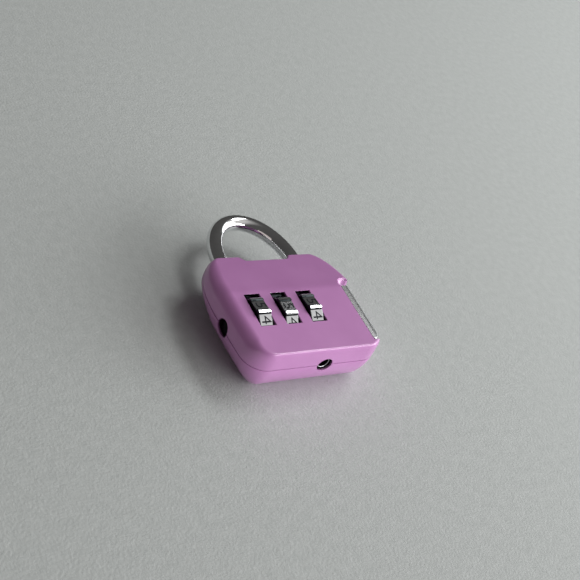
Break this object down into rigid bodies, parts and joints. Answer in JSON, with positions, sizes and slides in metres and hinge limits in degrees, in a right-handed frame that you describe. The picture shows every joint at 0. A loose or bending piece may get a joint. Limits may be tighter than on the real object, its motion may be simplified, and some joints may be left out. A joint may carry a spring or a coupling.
{
  "type": "luggage combination padlock",
  "caption": "Small painted combination padlock with number dials, a side release lever and a round chromed shackle, lying on its back.",
  "frame": {"origin": "bottom centre of the closed lock's box, on the flat back face that it lies on", "axes": "+X across the body towards the release lever, +Y from the bottom edge to the shackle, +Z out of the front face with the dials"},
  "size_m": [0.0327, 0.0419, 0.0124],
  "materials": {
    "pink_paint": "gloss orchid-pink enamel on zinc die casting",
    "chrome": "bright chrome plate with fine handling marks",
    "dial_silver": "plated dial wheels with black digits",
    "brass": "plain turned brass",
    "steel": "plain zinc-plated steel",
    "black_steel": "black-oxide coated steel",
    "spring_steel": "drawn spring wire and strip"
  },
  "bodies": {
    "body": {"front_shell": "pink_paint", "back_shell": "pink_paint", "shackle_stop_pin": "steel", "shackle_spring": "spring_steel", "spindle_spring": "spring_steel", "latch_spring": "spring_steel", "lever_pivot_pin": "steel", "detent_spring": "spring_steel", "bottom_pin": "steel", "shell_rivet_1": "steel", "shell_rivet_2": "steel", "shell_rivet_3": "steel"},
    "shackle": {"shackle": "chrome"},
    "dial_1": {"dial_1": "dial_silver", "code_sleeve_1": "brass"},
    "dial_2": {"dial_2": "dial_silver", "code_sleeve_2": "brass"},
    "dial_3": {"dial_3": "dial_silver", "code_sleeve_3": "brass"},
    "spindle": {"spindle": "black_steel", "spindle_clip": "spring_steel"},
    "lever": {"release_lever": "chrome", "lever_drive_pin": "steel"},
    "lock_bar": {"lock_bar": "steel"}
  },
  "joints": [
    {"name": "dial_1_turn", "type": "hinge", "parent": "body", "child": "dial_1", "pos_m": [-0.0095, -0.00945, 0.0067], "axis": [1, 0, 0], "continuous": true},
    {"name": "dial_2_turn", "type": "hinge", "parent": "body", "child": "dial_2", "pos_m": [-0.0035, -0.00945, 0.0067], "axis": [1, 0, 0], "continuous": true},
    {"name": "dial_3_turn", "type": "hinge", "parent": "body", "child": "dial_3", "pos_m": [0.0025, -0.00945, 0.0067], "axis": [1, 0, 0], "continuous": true},
    {"name": "shackle_lift", "type": "slide", "parent": "body", "child": "shackle", "axis": [0, 1, 0], "range_m": [0, 0.005], "deforming": ["shackle_spring"]},
    {"name": "lever_swing", "type": "hinge", "parent": "body", "child": "lever", "pos_m": [0.0139, -0.01645, 0.0067], "axis": [0, 0, 1], "range_deg": [-6, 0], "stiffness_Nm_per_rad": 0.02},
    {"name": "lock_bar_slide", "type": "slide", "parent": "body", "child": "lock_bar", "axis": [1, 0, 0], "range_m": [0, 0.0012], "deforming": ["latch_spring"]},
    {"name": "spindle_push", "type": "slide", "parent": "body", "child": "spindle", "axis": [1, 0, 0], "range_m": [0, 0.001], "stiffness_N_per_m": 150, "deforming": ["spindle_spring"]}
  ],
  "couplings": [
    {"joint": "lock_bar_slide", "follows": "lever_swing", "m_per_rad": -0.0109}
  ]
}
